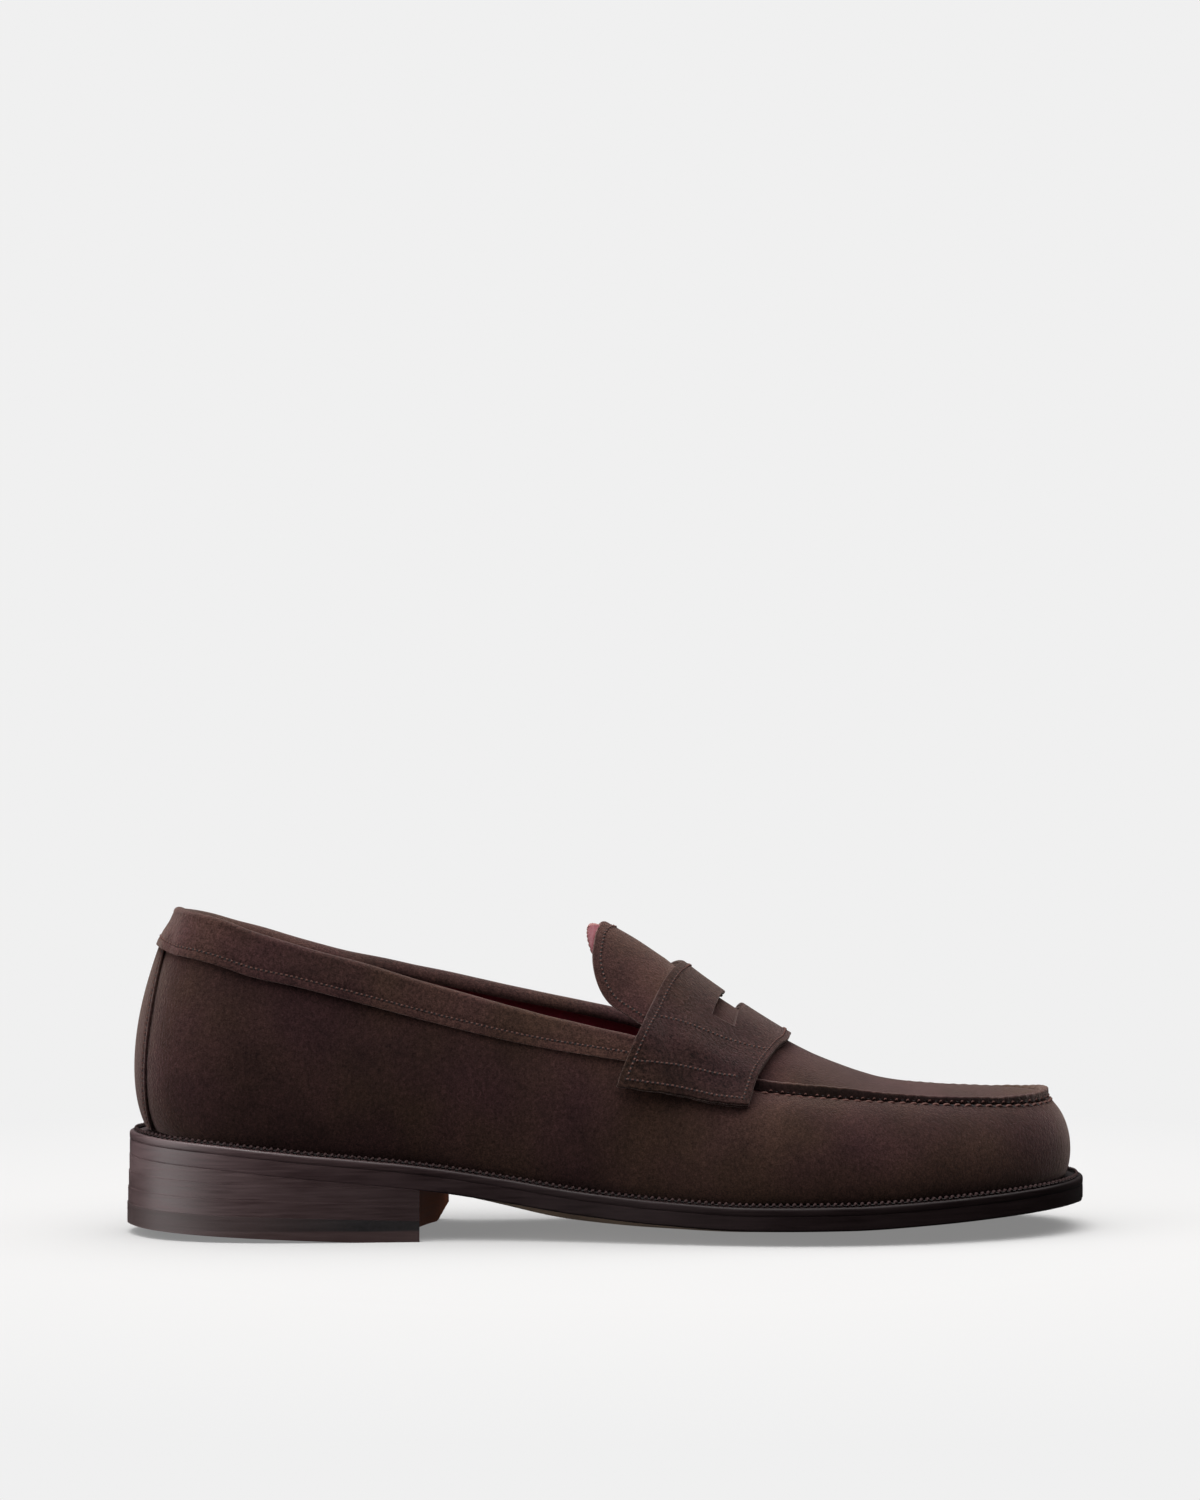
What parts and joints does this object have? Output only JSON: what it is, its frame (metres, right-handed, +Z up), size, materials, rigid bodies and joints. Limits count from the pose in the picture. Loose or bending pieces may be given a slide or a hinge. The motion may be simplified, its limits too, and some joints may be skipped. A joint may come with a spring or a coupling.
{
  "type": "penny loafer",
  "caption": "Right-foot suede slip-on shoe with a raised-seam apron, slotted saddle strap, tongue, welted leather sole and stacked heel.",
  "frame": {"origin": "on the ground under the middle of the shoe's bounding box, where the heel's tread and the ball of the sole rest", "axes": "+X towards the toe, +Y towards the inner side of the foot, +Z up"},
  "size_m": [0.3029, 0.1062, 0.1025],
  "materials": {
    "suede": "napped suede",
    "lining": "smooth lining calf",
    "welt_edge": "burnished edge",
    "sole_leather": "natural sole leather",
    "insole_leather": "vegetable-tanned leather",
    "heel_stack": "stacked leather, burnished",
    "top_piece": "satin",
    "fibre_board": "stiffener board",
    "cork": "granulated cork",
    "canvas": "linen canvas",
    "steel": "spring steel",
    "brass": "drawn pin",
    "thread": "waxed thread"
  },
  "bodies": {
    "shoe": {"apron": "suede", "apron_lining": "lining", "apron_thread": "thread", "back_strip": "suede", "collar_binding": "suede", "cork_filler": "cork", "heel_counter": "fibre_board", "heel_lift_lower": "heel_stack", "heel_lift_upper": "heel_stack", "heel_pin_1": "brass", "heel_pin_2": "brass", "heel_pin_3": "brass", "heel_pin_4": "brass", "heel_pin_5": "brass", "heel_pin_6": "brass", "heel_top_piece": "top_piece", "heel_wedge": "heel_stack", "insole": "insole_leather", "insole_rib": "canvas", "outsole": "sole_leather", "quarter_lining": "lining", "saddle_backing": "suede", "saddle_strap": "suede", "shank": "steel", "skirt": "suede", "sock_lining": "lining", "toe_puff": "fibre_board", "tongue_root": "suede", "vamp_lining": "lining", "welt": "welt_edge", "welt_thread": "thread"},
    "tongue_flap": {"tongue": "suede", "tongue_lining": "lining"}
  },
  "joints": [
    {"name": "tongue_lift", "type": "hinge", "parent": "shoe", "child": "tongue_flap", "pos_m": [0.0215, 0, 0.0831], "axis": [0, 1, 0], "range_deg": [-4, 25], "stiffness_Nm_per_rad": 0.12}
  ]
}
